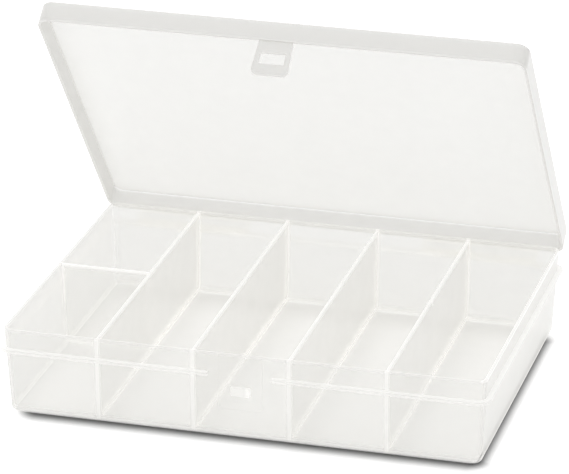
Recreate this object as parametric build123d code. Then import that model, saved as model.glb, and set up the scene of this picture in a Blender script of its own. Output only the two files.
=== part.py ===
# Compartment storage box: a drafted tray with fixed dividers and a hinged lid with a skirt.
# Millimetres. X runs along the long side, Y from the latch (front) to the hinges (back), Z up.
# The origin is the middle of the tray's flat underside. The lid is stored part open, as pictured.
from build123d import *
import os

# The tray
TRAY_W = 250.0            # outside at the rim
TRAY_D = 184.0
TRAY_H = 46.4
DRAFT = 2.3               # how far each side leans in from rim to base
RIM_R = 5.0               # plan radius of the corners
WALL = 1.5
FLOOR = 1.5
BASE_ROUND = 3.0          # outside rounding where wall meets base
INNER_ROUND = 2.2         # inside rounding where wall meets floor
RIM_ROUND = 0.4           # softened rim edges

# The ledge the lid closes on
LEDGE_DROP = 10.4         # rim to ledge top
LEDGE_T = 2.0
LEDGE_PROUD = 0.5         # ledge beyond the closed lid's skirt
LEDGE_ROUND = 0.7
LATCH_GAP = 33.0          # break in the ledge for the latch tab

# The dividers
DIVIDER_T = 1.5
DIVIDER_DROP = 0.5        # divider tops below the rim
COLUMNS = 5
CROSS_Y = 1.0             # cross divider, in the first column only
GUIDE_OUT = 0.9           # guide rib on the last divider's face
GUIDE_T = 1.2

# The lid, sized in its closed place
LID_GAP = 0.5             # skirt to tray at the front and sides
LID_GAP_BACK = 1.4        # wider at the back, so the skirt swings clear of the wall
SKIRT_T = 1.2
PANEL_T = 1.4
PANEL_REST = 0.1          # panel above the rim when closed
SKIRT_REST = 0.3          # skirt above the ledge when closed
LID_TOP_ROUND = 1.0
LID_OPEN = 51.0           # degrees from closed, as pictured

# The hinges: straps folded outwards, standing off the back
HINGE_OUT = 9.1           # fold line behind the back wall
HINGE_UP = 3.7            # fold line above the ledge
STRAP_SIDE = 14.0         # tray's side to the strap
STRAP_W = 62.5
STRAP_T = 0.9
STRAP_UP = 5.6            # skirt's free edge to where the strap leaves it
FOLD_R = 0.7
FOLD_GAP = 0.35

# The latch
TAB_ROOT_W = 17.5
TAB_TIP_W = 19.5
TAB_L = 19.8
TAB_TIP_R = 3.0
TAB_GAP = 0.35            # thin bending line between skirt and tab
WINDOW_W = 13.0
WINDOW_H = 6.6
WINDOW_DOWN = 7.0         # tab root to window
WINDOW_R = 0.8
CATCH_W = 10.0
CATCH_H = 4.8
CATCH_OUT = 1.0
CATCH_UP = 0.4            # catch centre above the window's
CATCH_ROUND = 0.45
POCKET_W = 23.0           # shallow recess the closed tab lies in
POCKET_DOWN = 31.0
POCKET_IN = 0.5
POCKET_R = 3.0

# Places that follow from the sizes above
HALF_W = TRAY_W / 2
HALF_D = TRAY_D / 2
DIVIDER_X = [TRAY_W * (n / COLUMNS - 0.5) for n in range(1, COLUMNS)]
LEDGE_Z = TRAY_H - LEDGE_DROP
LID_X = HALF_W + LID_GAP + SKIRT_T
LID_FRONT = -(HALF_D + LID_GAP + SKIRT_T)
LID_BACK = HALF_D + LID_GAP_BACK + SKIRT_T
LID_R = RIM_R + LID_GAP + SKIRT_T
LID_DEPTH = LID_BACK - LID_FRONT
LID_MID = (LID_BACK + LID_FRONT) / 2
PANEL_Z = TRAY_H + PANEL_REST
LID_TOP = PANEL_Z + PANEL_T
SKIRT_Z = LEDGE_Z + SKIRT_REST
HINGE_Y = HALF_D + HINGE_OUT
HINGE_Z = LEDGE_Z + HINGE_UP
HINGE_AXIS = Axis((0, HINGE_Y, HINGE_Z), (1, 0, 0))
STRAP_X = [STRAP_SIDE - HALF_W, HALF_W - STRAP_SIDE - STRAP_W]
WINDOW_Z = SKIRT_Z - TAB_GAP - WINDOW_DOWN - WINDOW_H / 2
CATCH_Z = WINDOW_Z + CATCH_UP
FAR = 400.0               # longer than anything here


def wall_in(z):
    """How far the tray's side has leant in at height z."""
    return DRAFT * (TRAY_H - z) / TRAY_H


def outline(z, offset):
    """The tray's rounded plan outline at height z, moved out by offset."""
    grow = 2 * (offset - wall_in(z))
    return Pos(0, 0, z) * RectangleRounded(TRAY_W + grow, TRAY_D + grow, RIM_R + offset)


def drafted(low, offset):
    """A block with the tray's leaning sides, moved out by offset, from low up to the rim."""
    return loft([outline(low, offset), outline(TRAY_H, offset)])


def tray_block():
    """The tray's outside as one solid."""
    solid = drafted(0, 0)
    return fillet(solid.edges().group_by(Axis.Z)[0], BASE_ROUND)


def cavity():
    """The space inside the tray, which also trims every divider to the walls and floor."""
    hollow = drafted(FLOOR, -WALL)
    return fillet(hollow.edges().group_by(Axis.Z)[0], INNER_ROUND)


def latch_pocket(block):
    """The thin slice of the front wall taken away behind the closed latch tab."""
    behind = -HALF_D + DRAFT + WALL
    front = Plane((0, behind, TRAY_H), x_dir=(1, 0, 0), z_dir=(0, -1, 0))
    window = front * RectangleRounded(POCKET_W, 2 * POCKET_DOWN, POCKET_R)
    prism = extrude(window, amount=2 * (DRAFT + WALL), dir=(0, -1, 0))
    return (prism & block) - drafted(0, -POCKET_IN)


def tray_shell(block, space, pocket):
    shell = block - space
    shell = fillet(shell.edges().group_by(Axis.Z)[-1], RIM_ROUND)
    return shell - pocket


def tray_ledge(block):
    """A ring round the tray, a little proud of the closed lid, open where the latch tab passes."""
    width = 2 * (LID_X + LEDGE_PROUD)
    plan = RectangleRounded(width, LID_DEPTH + 2 * LEDGE_PROUD, LID_R + LEDGE_PROUD)
    plate = Pos(0, LID_MID, LEDGE_Z - LEDGE_T) * extrude(plan, LEDGE_T)
    rims = plate.edges().group_by(Axis.Z)
    plate = fillet(rims[0] + rims[-1], LEDGE_ROUND)
    gap = Pos(0, LID_FRONT, LEDGE_Z) * Box(LATCH_GAP, 2 * (LID_R + WALL), 4 * LEDGE_T)
    return plate - block - gap


def divider_plate(x):
    size = (DIVIDER_T, FAR, TRAY_H - DIVIDER_DROP)
    return Pos(x, 0, 0) * Box(*size, align=(Align.CENTER, Align.CENTER, Align.MIN))


def long_divider(x, space):
    return divider_plate(x) & space


def cross_divider(space):
    """The short divider between the left wall and the first long one."""
    right = DIVIDER_X[0] - DIVIDER_T / 2
    size = (FAR, DIVIDER_T, TRAY_H - DIVIDER_DROP)
    plate = Pos(right, CROSS_Y, 0) * Box(*size, align=(Align.MAX, Align.CENTER, Align.MIN))
    return plate & space


def divider_guide(space):
    """A thin upright rib on the last divider's face, level with the cross divider."""
    left = DIVIDER_X[-1] + DIVIDER_T / 2
    size = (GUIDE_OUT, GUIDE_T, TRAY_H - DIVIDER_DROP)
    rib = Pos(left, CROSS_Y, 0) * Box(*size, align=(Align.MIN, Align.CENTER, Align.MIN))
    return rib & space


def latch_catch(block, pocket):
    """A soft-edged nub on the front wall, standing inside the closed tab's window."""
    front = -(HALF_D - wall_in(CATCH_Z)) - CATCH_OUT
    size = (CATCH_W, 2 * (CATCH_OUT + WALL), CATCH_H)
    nub = Pos(0, front, CATCH_Z) * Box(*size, align=(Align.CENTER, Align.MIN, Align.CENTER))
    nub = fillet(nub.faces().sort_by(Axis.Y)[0].edges(), CATCH_ROUND)
    return nub - (block - pocket)


def strap_leaf(start, end, x, round_end):
    """A flat leaf across the strap's width between two (y, z) points; a bead rounds its end."""
    a = Vector(0, *start)
    b = Vector(0, *end)
    along = (b - a).normalized()
    side = Vector(0, -along.Z, along.Y) * (STRAP_T / 2)
    corners = [a + side, b + side, b - side, a - side]
    leaf = extrude(make_face(Polyline(*corners, close=True)), amount=STRAP_W, dir=(1, 0, 0))
    if round_end:
        across = (Align.CENTER, Align.CENTER, Align.MIN)
        leaf = leaf + Pos(0, *end) * Rot(0, 90, 0) * Cylinder(FOLD_R, STRAP_W, align=across)
    return Pos(x, 0, 0) * leaf


def tray_strap(x, block, ledge):
    """The lower leaf, from the ledge's edge up and back to the fold."""
    foot = (LID_BACK + LEDGE_PROUD - LEDGE_ROUND, LEDGE_Z - LEDGE_T + STRAP_T / 2)
    return strap_leaf(foot, (HINGE_Y, HINGE_Z), x, True) - ledge - block


def lid_ring(inset, low, high):
    """A solid with the lid's plan outline, moved in by inset, between two heights."""
    plan = RectangleRounded(2 * (LID_X - inset), LID_DEPTH - 2 * inset, LID_R - inset)
    return Pos(0, LID_MID, low) * extrude(plan, high - low)


def lid_skirt_closed():
    """The lid's deep rim, which hangs outside the tray's wall down to the ledge."""
    ring = lid_ring(0, SKIRT_Z, LID_TOP)
    ring = fillet(ring.edges().group_by(Axis.Z)[-1], LID_TOP_ROUND)
    return ring - lid_ring(SKIRT_T, SKIRT_Z, LID_TOP)


def lid_panel_closed():
    """The flat top, held inside the skirt."""
    return lid_ring(SKIRT_T, PANEL_Z, LID_TOP)


def lid_strap_closed(x, skirt):
    """The upper leaf, from the skirt's back face to just short of the fold."""
    root = Vector(0, LID_BACK - SKIRT_T / 2, SKIRT_Z + STRAP_UP)
    fold = Vector(0, HINGE_Y, HINGE_Z)
    end = fold - (fold - root).normalized() * (FOLD_R + FOLD_GAP)
    return strap_leaf((root.Y, root.Z), (end.Y, end.Z), x, False) - skirt


def latch_tab_closed():
    """The tongue that hangs from the front skirt, with a window for the catch."""
    top = SKIRT_Z - TAB_GAP
    root = TAB_ROOT_W / 2
    tip = TAB_TIP_W / 2
    shape = make_face(Polyline((-root, 0), (root, 0), (tip, -TAB_L), (-tip, -TAB_L), close=True))
    shape = fillet(shape.vertices().group_by(Axis.Y)[0], TAB_TIP_R)
    window = Pos(0, -WINDOW_DOWN - WINDOW_H / 2) * RectangleRounded(WINDOW_W, WINDOW_H, WINDOW_R)
    face = Plane((0, LID_FRONT, top), x_dir=(1, 0, 0), z_dir=(0, -1, 0)) * (shape - window)
    return extrude(face, amount=SKIRT_T, dir=(0, 1, 0))


def opened(part):
    """Swing a lid piece from its closed place to the pictured one."""
    return part.rotate(HINGE_AXIS, -LID_OPEN)


def save(name, part):
    export_step(part, f"parts/{name}.step")


os.makedirs("parts", exist_ok=True)

block = tray_block()
space = cavity()
pocket = latch_pocket(block)
ledge = tray_ledge(block)
skirt = lid_skirt_closed()

save("tray_shell", tray_shell(block, space, pocket))
save("tray_ledge", ledge)
save("latch_catch", latch_catch(block, pocket))
for number, x in enumerate(DIVIDER_X, start=1):
    save(f"long_divider_{number}", long_divider(x, space))
save("cross_divider", cross_divider(space))
save("divider_guide", divider_guide(space))

save("lid_panel", opened(lid_panel_closed()))
save("lid_skirt", opened(skirt))
save("latch_tab", opened(latch_tab_closed()))
for side, x in zip(("left", "right"), STRAP_X):
    save(f"hinge_strap_lower_{side}", tray_strap(x, block, ledge))
    save(f"hinge_strap_upper_{side}", opened(lid_strap_closed(x, skirt)))
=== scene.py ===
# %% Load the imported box
import bpy
import bmesh
from math import atan2, cos, radians, sin
from mathutils import Matrix, Vector


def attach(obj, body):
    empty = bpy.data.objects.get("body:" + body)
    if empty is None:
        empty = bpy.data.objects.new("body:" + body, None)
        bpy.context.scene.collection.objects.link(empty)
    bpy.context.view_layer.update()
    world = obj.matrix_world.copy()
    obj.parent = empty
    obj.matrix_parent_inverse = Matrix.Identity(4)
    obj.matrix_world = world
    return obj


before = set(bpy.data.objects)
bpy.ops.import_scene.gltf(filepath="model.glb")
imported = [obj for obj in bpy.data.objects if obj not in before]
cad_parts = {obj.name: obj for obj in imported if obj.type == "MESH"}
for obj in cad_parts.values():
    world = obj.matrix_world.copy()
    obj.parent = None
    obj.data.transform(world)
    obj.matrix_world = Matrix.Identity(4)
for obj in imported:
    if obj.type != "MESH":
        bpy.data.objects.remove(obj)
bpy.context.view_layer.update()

# %% [markdown]
# The box is milky polypropylene, moulded in one piece. Every size below repeats a size of the
# moulding, in metres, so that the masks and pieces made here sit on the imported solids. The fold
# of the hinge and the lid's angle are kept as numbers, because the lid's finish is written for
# the shut lid and then looked up through the fold.

# %% Sizes of the moulding
RIM_Z = 0.0464
LEDGE_Z = 0.0360
FLOOR_T = 0.0015
WALL_T = 0.0015
HALF_W = 0.125
HALF_D = 0.092
DRAFT = 0.0023
PITCH = 0.050
CROSS_Y = 0.001
HINGE_Y = 0.1011
HINGE_Z = 0.0397
LID_OPEN = radians(51.0)
LID_X = 0.1267
LID_TOP = 0.0479
PANEL_Z = 0.0465
LID_FRONT = -0.0937
LID_BACK = 0.0946
SKIRT_T = 0.0012
SKIRT_FREE = 0.0363
STRAP_FAR = 0.111
STRAP_NEAR = 0.0485
print("the lid's back is", round((HINGE_Y - LID_BACK) * 1000, 1), "mm short of the fold")


# %% [markdown]
# Shader maths reads best as plain expressions. This small class wraps one output socket, so
# that `1 - mask * 0.5` adds the Math nodes by itself, and its `node` method adds any other node.

# %% A socket that can be used in expressions
class Flow:
    def __init__(self, tree, socket):
        self.tree = tree
        self.socket = socket

    def math(self, operation, *values, clamp=False):
        made = self.tree.nodes.new("ShaderNodeMath")
        made.operation = operation
        made.use_clamp = clamp
        for place, value in zip(made.inputs, values):
            self.put(value, place)
        return Flow(self.tree, made.outputs[0])

    def put(self, value, place):
        if isinstance(value, Flow):
            self.tree.links.new(value.socket, place)
        else:
            place.default_value = value

    def __add__(self, other):
        return self.math("ADD", self, other)

    def __radd__(self, other):
        return self.math("ADD", other, self)

    def __sub__(self, other):
        return self.math("SUBTRACT", self, other)

    def __rsub__(self, other):
        return self.math("SUBTRACT", other, self)

    def __mul__(self, other):
        return self.math("MULTIPLY", self, other)

    def __truediv__(self, other):
        return self.math("DIVIDE", self, other)

    def __rtruediv__(self, other):
        return self.math("DIVIDE", other, self)

    def __pow__(self, other):
        return self.math("POWER", self, other)

    def __abs__(self):
        return self.math("ABSOLUTE", self)

    def clamp(self):
        return self.math("ADD", self, 0.0, clamp=True)

    def most(self, other):
        """The larger of the two."""
        return self.math("MAXIMUM", self, other)

    def near(self, value, width):
        """1 where this equals value, falling evenly to 0 at a distance of width."""
        return (1.0 - abs(self - value) / width).clamp()

    def over(self, low, high):
        """0 below low, 1 above high, rising evenly between them."""
        return ((self - low) / (high - low)).clamp()

    def node(self, kind, out=0, **sockets):
        """Adds a node, sets or links its named inputs, and gives the output with that number."""
        made = self.tree.nodes.new(kind)
        for name, value in sockets.items():
            self.put(value, made.inputs[name.replace("_", " ")])
        return Flow(self.tree, made.outputs[out])

    def mix(self, low, high):
        """The colour low where this is 0 and high where it is 1."""
        made = self.tree.nodes.new("ShaderNodeMix")
        made.data_type = "RGBA"
        colour_places = (made.inputs[0], made.inputs[6], made.inputs[7])
        for value, place in zip((self, low, high), colour_places):
            self.put(value, place)
        return Flow(self.tree, made.outputs[2])

    def parts(self):
        """The three numbers of a vector."""
        made = self.node("ShaderNodeSeparateXYZ", Vector=self).socket.node
        return [Flow(self.tree, output) for output in made.outputs]

    def feed(self, shader, name):
        self.tree.links.new(self.socket, shader.inputs[name])


def new_finish(name):
    """A new material with only a Principled shader: the material, a Flow to start from, the shader."""
    material = bpy.data.materials.new(name)
    material.use_nodes = True
    tree = material.node_tree
    tree.nodes.clear()
    output = tree.nodes.new("ShaderNodeOutputMaterial")
    shader = tree.nodes.new("ShaderNodeBsdfPrincipled")
    tree.links.new(shader.outputs[0], output.inputs["Surface"])
    return material, Flow(tree, shader.outputs[0]), shader


print("shader helper ready")

# %% [markdown]
# Natural polypropylene is neither clear nor white: a thin wall passes most of the light and
# scatters the rest, so it looks like a pale warm veil. A wall seen at a slant is crossed on a
# longer way and looks denser. Where light runs a long way inside the plastic, as to a rim or to
# the corner of two walls, it comes out there and that edge looks white. A scattering volume would
# be slow and would be lost in an export, so the veil is the alpha of a surface shader: it grows
# with the length of the way through the wall, and with a mask of the dense edges. A small
# emission, a painted glow, stands in for the light that is scattered inside the plastic. The same
# mask paints the dense edges a lighter colour and gives them a stronger painted glow, in place of
# the light that comes out there.

# %% The milky plastic
PLASTIC = (0.890, 0.884, 0.862, 1.0)
# The colour of the dense edges is a lighter copy of the plastic colour, painted light, and the
# emission is a painted glow, stronger on the edges.
LIT_EDGE_TONE = (0.965, 0.960, 0.945, 1.0)
EDGE_LIGHT = 0.20
SCATTERED = 0.08
LONGEST_WAY = 5.0
CLOUD_VEIL = 0.03
CLOUD_ROUGH = 0.10
CLOUD = {"Scale": 34.0, "Detail": 3.0, "Roughness": 0.55}
GRAIN = {"Scale": 900.0, "Detail": 2.0, "Roughness": 0.5}
GRAIN_BUMP = {"Strength": 0.05, "Distance": 0.0002}
PLASTIC_IOR = 1.49
PLASTIC_SHINE = 0.35
OBJECT_OUTPUT = 3
NORMAL_OUTPUT = 1
FACING_OUTPUT = 1
AIMED = (0.5, 0.7)


def tinted(colour, share):
    return tuple(share * part for part in colour[:3]) + (1.0,)


def aimed(direction):
    """1 on faces that look along this axis, either way, from one part of the normal."""
    return abs(direction).over(*AIMED)


def shut(y, z, about_y, about_z):
    """Where a point of the pictured lid is once the lid is shut, as y and z."""
    out = y - about_y
    up = z - about_z
    return (about_y + out * cos(LID_OPEN) - up * sin(LID_OPEN),
            about_z + out * sin(LID_OPEN) + up * cos(LID_OPEN))


def milky(name, veil, edges, hidden=None, thicker=None, tone=PLASTIC, rough=0.32,
          dense_veil=0.50, swung=False):
    """A see-through finish. veil is the alpha of a wall seen straight on. edges, hidden and
    thicker are masks made from place and direction: the dense edges, which are also painted a
    lighter colour with a stronger painted glow, the faces pressed against another piece, and alpha
    to add. A swung finish has its masks on the shut lid."""
    material, flow, shader = new_finish(name)
    place = flow.node("ShaderNodeTexCoord", out=OBJECT_OUTPUT)
    x, y, z = place.parts()
    nx, ny, nz = flow.node("ShaderNodeTexCoord", out=NORMAL_OUTPUT).parts()
    if swung:
        y, z = shut(y, z, HINGE_Y, HINGE_Z)
        ny, nz = shut(ny, nz, 0.0, 0.0)
    cloud = flow.node("ShaderNodeTexNoise", Vector=place, **CLOUD) - 0.5
    grain = flow.node("ShaderNodeTexNoise", Vector=place, **GRAIN)
    slant = flow.node("ShaderNodeLayerWeight", out=FACING_OUTPUT, Blend=0.5)
    way = 1.0 / (1.0 - slant).most(1.0 / LONGEST_WAY)
    dense_and_glow = edges(x, y, z, nx, ny, nz)
    clear = ((1.0 - veil) - cloud * CLOUD_VEIL) ** way
    alpha = 1.0 - clear + dense_and_glow * dense_veil
    if thicker:
        alpha = alpha + thicker(x, y, z, nx, ny, nz)
    alpha = alpha.clamp()
    if hidden:
        alpha = alpha * (1.0 - hidden(x, y, z, nx, ny, nz))
    alpha.feed(shader, "Alpha")
    # Painted light: the edge mask lightens the colour and strengthens the painted glow.
    dense_and_glow.mix(tone, LIT_EDGE_TONE).feed(shader, "Base Color")
    glow = dense_and_glow.mix(tinted(tone, SCATTERED), tinted(LIT_EDGE_TONE, EDGE_LIGHT))
    glow.feed(shader, "Emission Color")
    (cloud * CLOUD_ROUGH + rough).feed(shader, "Roughness")
    flow.node("ShaderNodeBump", Height=grain, **GRAIN_BUMP).feed(shader, "Normal")
    shader.inputs["Emission Strength"].default_value = 1.0
    shader.inputs["IOR"].default_value = PLASTIC_IOR
    shader.inputs["Specular IOR Level"].default_value = PLASTIC_SHINE
    return material


print("plastic ready")

# %% [markdown]
# The tray glows along its rim, round the bottom edge, and wherever a divider runs into it,
# because the wall is thicker there. The masks name those lines by their distance from each
# divider. The dividers repeat every 50 mm, so folding x back and forth over half a pitch gives
# the distance to the nearest one. Faces that are pressed against another piece of the same
# moulding aren't there in the real box, so they are fully clear. A pair of numbers below is the
# stretch over which a mask fades, and a share is how strong a line is. FLOOR_LINE alone is a
# height and how far the line reaches above and below it.

# %% The tray's finishes
HALF_LINE = 0.0017
RIM_FADE = (RIM_Z - 0.0018, RIM_Z - 0.0006)
RIM_SHARE = 0.30
RIGHT_RIM_FADE = (0.1215, 0.1230)
RIGHT_RIM_SHARE = 0.45
BASE_FADE = (0.0012, 0.0026)
BASE_LEAN = (0.25, 0.45)
BASE_SHARE = 0.9
OUTER_FADE = (HALF_W - 0.009, HALF_W - 0.007)
JOIN_SHARE = 0.6
CROSS_STOP = (-0.0755, -0.0745)
CROSS_SHARE = 0.75
FLOOR_LINE = (FLOOR_T + 0.0010, 0.0018)
FLOOR_SHARE = 0.45
BACK_FADE = (0.080, 0.086)
BACK_VEIL = 0.20
ABOVE_LEDGE = (0.0345, 0.0355)
ABOVE_LEDGE_LESS = 0.05
# The ledge's up-facing top gets a painted highlight.
LEDGE_TOP = (0.3, 0.9)
LEDGE_TOP_HIGHLIGHT = 0.55
LEDGE_SHARE = 0.30
LEVEL_FACE = (0.15, 0.25)
INWARD = (-0.2, 0.2)
CATCH_FADE = (0.0020, 0.0050)
CATCH_RIGHT_SHARE = 0.45
CATCH_SHARE = 0.55
TOP_FADE = (0.0438, 0.0452)
LONG_TOP_SHARE = 0.7
FOOT_FADE = (FLOOR_T + 0.0010, FLOOR_T + 0.0024)
END_FADE = (-0.0020, -0.0008)
END_SHARE = 0.9
MEET_FROM = (-0.0762, -0.0758)
MEET_TO = (-0.0760, -0.0755)
MEET_SHARE = 0.8
CROSS_RIGHT_END = (-0.0773, -0.0763)
CROSS_LEFT_END = (-0.1225, -0.1215)


def to_divider(x):
    """Distance from the nearest long divider's middle."""
    return PITCH / 2 - x.math("PINGPONG", x, PITCH / 2)


def inner_wall(z):
    """How far the inside of the front and back walls is from the middle at height z."""
    return HALF_D - WALL_T - (RIM_Z - z) * (DRAFT / RIM_Z)


def underside(nz):
    return (nz * -1.0).over(*AIMED)


def tray_edges(x, y, z, nx, ny, nz):
    """The rim, the bottom edge, the joins of the dividers and the line round the floor."""
    rim = z.over(*RIM_FADE) * (x.over(*RIGHT_RIM_FADE) * RIGHT_RIM_SHARE + RIM_SHARE)
    base = (1.0 - z.over(*BASE_FADE)) * abs(ny).most(abs(nx)).over(*BASE_LEAN)
    inside = (1.0 - abs(x).over(*OUTER_FADE))
    joins = (1.0 - to_divider(x).over(HALF_LINE * 0.5, HALF_LINE)) * inside * JOIN_SHARE
    cross = y.near(CROSS_Y, HALF_LINE) * (1.0 - x.over(*CROSS_STOP)) * CROSS_SHARE
    foot = z.near(*FLOOR_LINE) * FLOOR_SHARE
    return rim.most(base * BASE_SHARE).most(joins).most(cross).most(foot)


def back_wall(x, y, z, nx, ny, nz):
    """The back wall, seen against the brightest ground, is denser, and less so above the ledge."""
    return y.over(*BACK_FADE) * aimed(ny) * (BACK_VEIL - z.over(*ABOVE_LEDGE) * ABOVE_LEDGE_LESS)


def ledge_edges(x, y, z, nx, ny, nz):
    """The ledge is denser and painted light all over, with a stronger painted highlight on its
    up-facing top.
    """
    return nz.over(*LEDGE_TOP) * LEDGE_TOP_HIGHLIGHT + LEDGE_SHARE


def ledge_hidden(x, y, z, nx, ny, nz):
    """The ledge's inner face, which is inside the plastic."""
    flat = 1.0 - abs(nz).over(*LEVEL_FACE)
    inward = (x * nx / HALF_W + y * ny / HALF_D).over(*INWARD)
    return flat * (1.0 - inward)


def catch_edges(x, y, z, nx, ny, nz):
    """The nub is light all over, and lightest at its right end."""
    return x.over(*CATCH_FADE) * CATCH_RIGHT_SHARE + CATCH_SHARE


def divider_edges(x, y, z, nx, ny, nz):
    """The top, the foot, both ends, and the place where the cross divider meets the first one."""
    top = z.over(*TOP_FADE) * LONG_TOP_SHARE
    foot = 1.0 - z.over(*FOOT_FADE)
    end = (abs(y) - inner_wall(z)).over(*END_FADE) * END_SHARE
    meeting_face = (1.0 - x.over(*MEET_TO)) * x.over(*MEET_FROM)
    cross = y.near(CROSS_Y, HALF_LINE) * meeting_face * MEET_SHARE
    return top.most(foot).most(end).most(cross)


def divider_hidden(x, y, z, nx, ny, nz):
    """The foot and both ends, which run into the floor and the walls."""
    return underside(nz).most(aimed(ny))


def cross_edges(x, y, z, nx, ny, nz):
    """The top, the foot and both ends of the cross divider."""
    top = z.over(*TOP_FADE)
    foot = 1.0 - z.over(*FOOT_FADE)
    end = x.over(*CROSS_RIGHT_END).most(1.0 - x.over(*CROSS_LEFT_END)) * END_SHARE
    return top.most(foot).most(end)


def cross_hidden(x, y, z, nx, ny, nz):
    """The foot and both ends, which run into the floor, the left wall and the first divider."""
    return underside(nz).most(aimed(nx))


tray_finish = milky("milky_tray", veil=0.16, edges=tray_edges, thicker=back_wall)
ledge_finish = milky("milky_ledge", veil=0.10, edges=ledge_edges, hidden=ledge_hidden)
catch_finish = milky("milky_catch", veil=0.25, edges=catch_edges)
divider_finish = milky("milky_divider", veil=0.14, edges=divider_edges, hidden=divider_hidden)
cross_finish = milky("milky_cross_divider", veil=0.14, edges=cross_edges, hidden=cross_hidden)
print("tray finishes ready")

# %% [markdown]
# The masks of the lid are written as if it were shut. Its flat top is a thin veil that grows a
# little denser, and is painted a little lighter, at the left and right. Its skirt is denser, and
# its colour is a darker copy of the plastic's, as painted shade; the skirt's free edge and top
# corner are light lines. The straps and the tongue are leaves with light edges, and the tongue
# takes the skirt's painted shade.

# %% The lid's finishes
# A darker copy of the plastic colour for the lid's skirt and the tongue: painted shade.
SHADED_TONE = tinted(PLASTIC, 0.91)
SIDE_FADE = (0.100, LID_X)
SIDE_SHARE = 0.12
LYING = (0.4, 0.6)
FREE_FADE = (SKIRT_FREE + 0.0003, SKIRT_FREE + 0.0010)
FREE_SHARE = 0.15
CROWN_FADE = (LID_TOP - 0.0007, LID_TOP - 0.0002)
CROWN_SHARE = 0.25
PANEL_LEVEL = (PANEL_Z - 0.0001, PANEL_Z)
STRAP_FAR_FADE = (STRAP_FAR - 0.0018, STRAP_FAR - 0.0008)
STRAP_NEAR_FADE = (STRAP_NEAR + 0.0008, STRAP_NEAR + 0.0018)
STRAP_FOOT_FADE = (LEDGE_Z + 0.0002, LEDGE_Z + 0.0008)
FOLD_LINE = 0.0008
TAB_FACE = (0.6, 0.8)
TAB_SHARE = 0.25


def panel_edges(x, y, z, nx, ny, nz):
    """The panel grows a little denser towards the skirt at its left and right, and is painted a little
    lighter there, with a little painted glow.
    """
    return abs(x).over(*SIDE_FADE) * SIDE_SHARE


def panel_hidden(x, y, z, nx, ny, nz):
    """The panel's narrow sides, which are inside the skirt's plastic."""
    return 1.0 - abs(nz).over(*LYING)


def skirt_edges(x, y, z, nx, ny, nz):
    """The skirt's free edge and its top corner."""
    free = 1.0 - z.over(*FREE_FADE)
    crown = z.over(*CROWN_FADE) * CROWN_SHARE
    return (free * FREE_SHARE).most(crown)


def skirt_hidden(x, y, z, nx, ny, nz):
    """The strip of the skirt's inner face that the panel fills."""
    level = z.over(*PANEL_LEVEL) * (1.0 - abs(nz).over(*LYING))
    middle = (LID_BACK + LID_FRONT) / 2
    inward = (x * nx / LID_X + (y - middle) * ny / HALF_D).over(*INWARD)
    return level * (1.0 - inward)


def strap_edges(x, y, z, nx, ny, nz):
    """Both ends of a strap, its fold and its foot on the ledge."""
    across = abs(x)
    ends = across.over(*STRAP_FAR_FADE).most(1.0 - across.over(*STRAP_NEAR_FADE))
    foot = 1.0 - z.over(*STRAP_FOOT_FADE)
    return ends.most(foot).most(y.near(HINGE_Y, FOLD_LINE))


def tab_edges(x, y, z, nx, ny, nz):
    """The tongue's outline and its window, seen as light lines."""
    return (1.0 - abs(ny).over(*TAB_FACE)) * TAB_SHARE


panel_finish = milky("milky_lid_panel", veil=0.20, edges=panel_edges, hidden=panel_hidden,
                     rough=0.24, swung=True)
skirt_finish = milky("milky_lid_skirt", veil=0.50, edges=skirt_edges, hidden=skirt_hidden,
                     tone=SHADED_TONE, swung=True)
strap_finish = milky("milky_strap", veil=0.14, edges=strap_edges, dense_veil=0.80)
tab_finish = milky("milky_tab", veil=0.50, edges=tab_edges, tone=SHADED_TONE, dense_veil=0.30,
                   swung=True)
print("lid finishes ready")

# %% [markdown]
# Each moulded solid is one node, and each node now gets the finish of its part of the box. The
# four long dividers and their guide rib share one finish, and so do the four strap leaves.

# %% Give each moulded node its finish
finish_of = {
    "tray_shell": tray_finish,
    "tray_ledge": ledge_finish,
    "latch_catch": catch_finish,
    "cross_divider": cross_finish,
    "divider_guide": divider_finish,
    "lid_panel": panel_finish,
    "lid_skirt": skirt_finish,
    "latch_tab": tab_finish,
}
for number in range(1, 5):
    finish_of[f"long_divider_{number}"] = divider_finish
for level in ("lower", "upper"):
    for side in ("left", "right"):
        finish_of[f"hinge_strap_{level}_{side}"] = strap_finish
for node, finish in finish_of.items():
    solid = bpy.data.objects[node]
    if not solid.material_slots:
        solid.data.materials.append(finish)
    for holder in solid.material_slots:
        holder.material = finish
print("finished", len(finish_of), "nodes")

# %% [markdown]
# The stiff pieces stop a little short of each fold so that they can turn. On the real box a thin
# film of the same plastic crosses that gap. Each film is a slab that is thinner in the middle, as
# a moulded fold is. It reaches from inside one piece to inside the other and turns with the lid
# or the tongue about the fold, so it never comes away.

# %% Films across the folds
FILM_T = 0.0006
FILM_WAIST = 0.45
FILM_CUTS = 3
FOLD_FILM_LENGTH = 0.0010
FOLD_FILM_OUT = 0.0009
LEAF_ROOT_Y = LID_BACK - SKIRT_T / 2
LEAF_ROOT_Z = SKIRT_FREE + 0.0056
TAB_FILM_LENGTH = 0.0008
TAB_GAP = 0.00035
TAB_ROOT = 0.0175
to_fold = Matrix.Translation((0.0, HINGE_Y, HINGE_Z))
from_fold = Matrix.Translation((0.0, -HINGE_Y, -HINGE_Z))
swing = to_fold @ Matrix.Rotation(-LID_OPEN, 4, "X") @ from_fold


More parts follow.
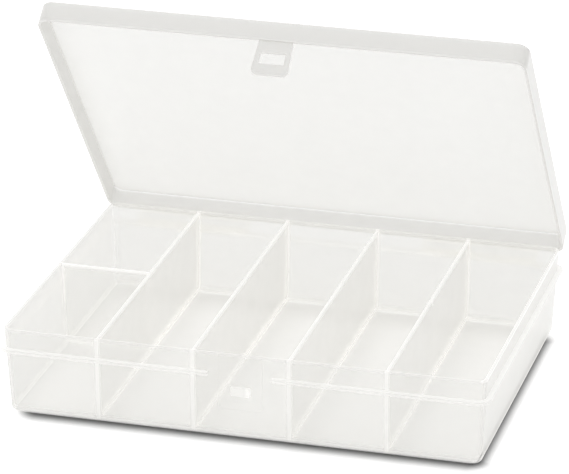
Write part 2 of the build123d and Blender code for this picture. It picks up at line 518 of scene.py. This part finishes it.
def film(name, middle_x, middle, angle, width, length, body, finish):
    """A waisted slab about a place on the shut lid, given as y and z, at an angle, swung open."""
    mesh = bpy.data.meshes.new(name)
    work = bmesh.new()
    bmesh.ops.create_cube(work, size=1.0)
    bmesh.ops.scale(work, verts=work.verts, vec=(width, length, FILM_T))
    lengthwise = []
    for edge in work.edges:
        near_end, far_end = edge.verts
        if abs(near_end.co.y - far_end.co.y) > length / 2:
            lengthwise.append(edge)
    bmesh.ops.subdivide_edges(work, edges=lengthwise, cuts=FILM_CUTS)
    for vert in work.verts:
        vert.co.z *= FILM_WAIST + (1.0 - FILM_WAIST) * abs(vert.co.y) / (length / 2)
    place = swing @ Matrix.Translation((middle_x, *middle)) @ Matrix.Rotation(angle, 4, "X")
    bmesh.ops.transform(work, verts=work.verts, matrix=place)
    bmesh.ops.recalc_face_normals(work, faces=work.faces)
    work.to_mesh(mesh)
    work.free()
    mesh.materials.append(finish)
    piece = bpy.data.objects.new(name, mesh)
    bpy.context.collection.objects.link(piece)
    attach(piece, body)


leaf_angle = atan2(LEAF_ROOT_Z - HINGE_Z, LEAF_ROOT_Y - HINGE_Y)
fold_film = (HINGE_Y + FOLD_FILM_OUT * cos(leaf_angle), HINGE_Z + FOLD_FILM_OUT * sin(leaf_angle))
for side, sign in (("left", -1.0), ("right", 1.0)):
    film(f"hinge_film_{side}", sign * (STRAP_FAR + STRAP_NEAR) / 2, fold_film, leaf_angle,
         STRAP_FAR - STRAP_NEAR, FOLD_FILM_LENGTH, "lid", strap_finish)
tab_film = (LID_FRONT + SKIRT_T / 2, SKIRT_FREE - TAB_GAP / 2)
film("latch_film", 0.0, tab_film, radians(90.0), TAB_ROOT, TAB_FILM_LENGTH,
     "latch", tab_finish)
print("films made across three folds")

# %% [markdown]
# The photograph is a product shot on a white sweep, with one soft dark band where the box meets
# the table at the front and right. A see-through box casts only a faint shadow in a renderer, as
# most light passes it. So the floor sheet carries that band itself, as a darker stretch of its
# own colour round the foot of the box. It also adds light of its own, for camera, glossy and
# transmission rays only, so that it reads as white and still takes the soft shadow of the lamp.
# That light is strongest where the floor is seen directly, weak where it is seen through the box,
# and raised a little under the box, where it is seen through many walls.

# %% Floor
FLOOR_SIZE = 6.0
FLOOR_DROP = 0.0003
FLOOR_TONE = 0.92
FLOOR_ROUGH = 0.9
FOOT_X = 0.1203
FOOT_Y = 0.0873
FOOT_R = 0.004
BAND_X = 0.0077
BAND_Y = 0.0131
BAND_LOW = 0.17
FLOOR_LIGHT = 0.07
DIRECT_LIGHT = 0.30
UNDER_LIGHT = 0.11
UNDER_FADE = (-0.0008, 0.0)
NEVER_ZERO = 0.000001


def grey(level):
    return (level, level, level, 1.0)


def past(x, y, half_x, half_y):
    """How far outside a rounded rectangle a point is, and how much of that lies along y."""
    out_x = (abs(x) - (half_x - FOOT_R)).most(0.0)
    out_y = (abs(y) - (half_y - FOOT_R)).most(0.0)
    far = out_x * out_x + out_y * out_y
    return far.math("SQRT", far) - FOOT_R, out_y / (out_x + out_y + NEVER_ZERO)


ground = bpy.data.meshes.new("floor")
work = bmesh.new()
bmesh.ops.create_grid(work, x_segments=1, y_segments=1, size=FLOOR_SIZE)
bmesh.ops.translate(work, verts=work.verts, vec=(0.0, 0.0, -FLOOR_DROP))
work.to_mesh(ground)
work.free()
floor = bpy.data.objects.new("floor", ground)
bpy.context.collection.objects.link(floor)
floor_finish, flow, shader = new_finish("white_floor")
x, y, z = flow.node("ShaderNodeTexCoord", out=OBJECT_OUTPUT).parts()
gap, along_y = past(x - BAND_X / 2, y + BAND_Y / 2, FOOT_X - BAND_X / 2, FOOT_Y - BAND_Y / 2)
away = (gap / (along_y * (BAND_Y - BAND_X) + BAND_X)).clamp()
outside = past(x, y, FOOT_X, FOOT_Y)[0]
under = 1.0 - outside.over(*UNDER_FADE)
open_floor = (away * away * (3.0 - away * 2.0)).most(under)
light_path = flow.node("ShaderNodeLightPath").socket.node.outputs
by_camera = Flow(flow.tree, light_path["Is Camera Ray"])
by_gloss = Flow(flow.tree, light_path["Is Glossy Ray"])
by_glass = Flow(flow.tree, light_path["Is Transmission Ray"])
looked = by_camera.most(by_gloss).most(by_glass)
direct = 1.0 - Flow(flow.tree, light_path["Transparent Depth"]).clamp()
own_light = looked * (open_floor * (direct * DIRECT_LIGHT + FLOOR_LIGHT) + under * UNDER_LIGHT)
own_light.mix(grey(0.0), grey(1.0)).feed(shader, "Emission Color")
open_floor.mix(grey(BAND_LOW), grey(FLOOR_TONE)).feed(shader, "Base Color")
shader.inputs["Emission Strength"].default_value = 1.0
shader.inputs["Roughness"].default_value = FLOOR_ROUGH
shader.inputs["Specular IOR Level"].default_value = 0.0
ground.materials.append(floor_finish)
print("floor ready")

# %% [markdown]
# Soft light from all round, with one large lamp high behind the box on the left, as the band in
# the photograph falls to the front and right. Together they light a white sheet that faces up at
# about its own colour. Light has to pass many thin walls here, so the number of clear surfaces
# that a ray may pass is raised, and so is the number of times that it may scatter.

# %% World and lamp
SKY = 0.78
CLEAR_SURFACES = 40
SCATTERINGS = 8
LAMP_PLACE = (-0.38, 0.95, 2.1)
LAMP_AIM = (0.0, 0.0, 0.03)
LAMP_SIZE = 0.8
LAMP_POWER = 14.0
scene = bpy.context.scene
scene.view_settings.view_transform = "Standard"
scene.cycles.transparent_max_bounces = CLEAR_SURFACES
scene.cycles.diffuse_bounces = SCATTERINGS
world = bpy.data.worlds.new("soft_white")
scene.world = world
world.use_nodes = True
sky = world.node_tree.nodes["Background"]
start = Flow(world.node_tree, sky.outputs[0])
sky_path = start.node("ShaderNodeLightPath").socket.node.outputs
seen = Flow(world.node_tree, sky_path["Is Camera Ray"])
seen.mix(grey(SKY), grey(1.0)).feed(sky, "Color")
sky.inputs["Strength"].default_value = 1.0
light = bpy.data.lights.new("key", "AREA")
light.shape = "SQUARE"
light.size = LAMP_SIZE
light.energy = LAMP_POWER
lamp = bpy.data.objects.new("key", light)
lamp.location = LAMP_PLACE
lamp_view = Vector(LAMP_AIM) - Vector(LAMP_PLACE)
lamp.rotation_euler = lamp_view.to_track_quat("-Z", "Y").to_euler()
bpy.context.collection.objects.link(lamp)
print("lamp ready")

# %% [markdown]
# The camera stands where the photograph's stood. Its place and angles come from the straight
# edges of the box: a long lens, about 22 degrees above the table and 15 degrees to the right.

# %% Camera
AROUND = radians(15.16)
ABOVE = radians(21.72)
TILT = radians(0.154)
STAND = Vector((0.48983, -1.81564, 0.82353))
SENSOR_WIDTH = 36.0
LENS = 248.6
FARTHEST = 20.0
eye = bpy.data.cameras.new("photo_camera")
camera = bpy.data.objects.new("photo_camera", eye)
bpy.context.collection.objects.link(camera)
back = Vector((sin(AROUND) * cos(ABOVE), -cos(AROUND) * cos(ABOVE), sin(ABOVE)))
right = Vector((cos(AROUND), sin(AROUND), 0.0))
up = back.cross(right)
tilted_right = right * cos(TILT) + up * sin(TILT)
tilted_up = up * cos(TILT) - right * sin(TILT)
turn = Matrix((tilted_right, tilted_up, back)).transposed().to_4x4()
camera.matrix_world = Matrix.Translation(STAND) @ turn
eye.sensor_width = SENSOR_WIDTH
eye.lens = LENS
eye.clip_end = FARTHEST
scene.camera = camera
print("camera at", [round(v, 3) for v in camera.location])
